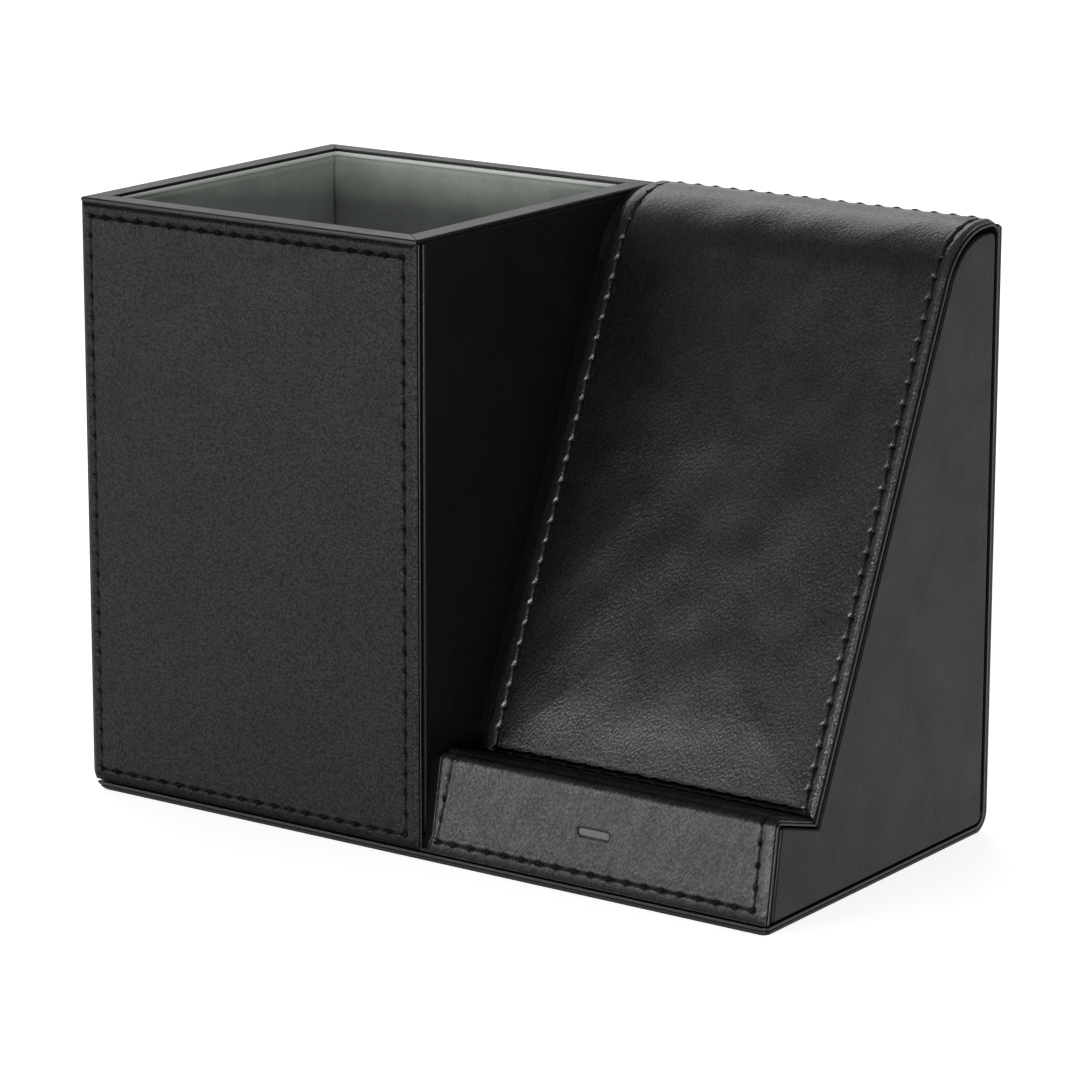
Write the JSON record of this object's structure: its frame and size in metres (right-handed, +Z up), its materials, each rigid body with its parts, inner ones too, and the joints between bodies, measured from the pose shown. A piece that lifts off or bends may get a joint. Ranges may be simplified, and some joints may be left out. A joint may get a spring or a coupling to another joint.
{
  "type": "pen stand with phone rest",
  "caption": "Leather-covered desk stand: an open lined pen cup beside a leaning phone rest with a low lip and a charging coil behind the slope.",
  "frame": {"origin": "on the desk, at the middle of the footprint, directly under the stand", "axes": "+X to the right with the pen cup on the left, +Y to the back, +Z up"},
  "size_m": [0.16, 0.08, 0.121],
  "materials": {
    "stitched_leather": "black coated leather, fine pebble grain, padded, stitched with black thread",
    "plain_leather": "black coated leather, smooth fine grain, wrapped over board",
    "wrapped_ply": "thin board wrapped in the same black coated leather, seen at the edges",
    "grey_board": "pressed board, dull, faced in black paper",
    "base_fibreboard": "medium density fibreboard, dyed black",
    "rail_wood": "planed softwood rail, stained black",
    "lining_suede": "grey-green brushed microfibre, short nap, thin padding",
    "tray_plastic": "black moulded plastic, fine matt texture",
    "coil_wire": "enamelled copper wire, wound flat",
    "ferrite": "sintered ferrite, dark grey, matt",
    "steel": "nickel-plated steel",
    "spacer_brass": "turned brass",
    "circuit_board": "glass-fibre circuit board with green lacquer",
    "chip_plastic": "moulded epoxy, charcoal",
    "lens_plastic": "smoke grey translucent plastic",
    "lead_jacket": "soft black insulation"
  },
  "bodies": {
    "root": {"cup_front_skin": "stitched_leather", "slope_skin": "stitched_leather", "lip_skin": "stitched_leather", "base_skin": "plain_leather", "back_skin": "plain_leather", "cup_left_panel": "plain_leather", "cup_right_panel": "plain_leather", "end_panel": "plain_leather", "rim_binding_front": "plain_leather", "rim_binding_right": "plain_leather", "rim_binding_back": "plain_leather", "rim_binding_left": "plain_leather", "cup_front_ply": "wrapped_ply", "slope_ply": "wrapped_ply", "lip_ply": "wrapped_ply", "base_ply": "wrapped_ply", "back_ply": "wrapped_ply", "cup_front_board": "grey_board", "cup_back_board": "grey_board", "cup_left_board": "grey_board", "cup_right_board": "grey_board", "lip_board": "grey_board", "ledge_board": "grey_board", "slope_board": "grey_board", "rest_back_board": "grey_board", "end_board": "grey_board", "base_board": "base_fibreboard", "top_rail": "rail_wood", "lining_front": "lining_suede", "lining_back": "lining_suede", "lining_left": "lining_suede", "lining_right": "lining_suede", "lining_floor": "lining_suede", "coil_tray": "tray_plastic", "lamp_holder": "tray_plastic", "inlet_bezel": "tray_plastic", "charging_coil": "coil_wire", "ferrite_plate": "ferrite", "tray_screws": "steel", "board_screws": "steel", "usb_socket": "steel", "board_spacers": "spacer_brass", "charger_board": "circuit_board", "lamp_board": "circuit_board", "power_inductor": "chip_plastic", "control_chip": "chip_plastic", "capacitors": "chip_plastic", "indicator_lens": "lens_plastic", "indicator_lamp": "lens_plastic", "coil_lead": "lead_jacket", "lamp_lead": "lead_jacket"}
  },
  "joints": []
}
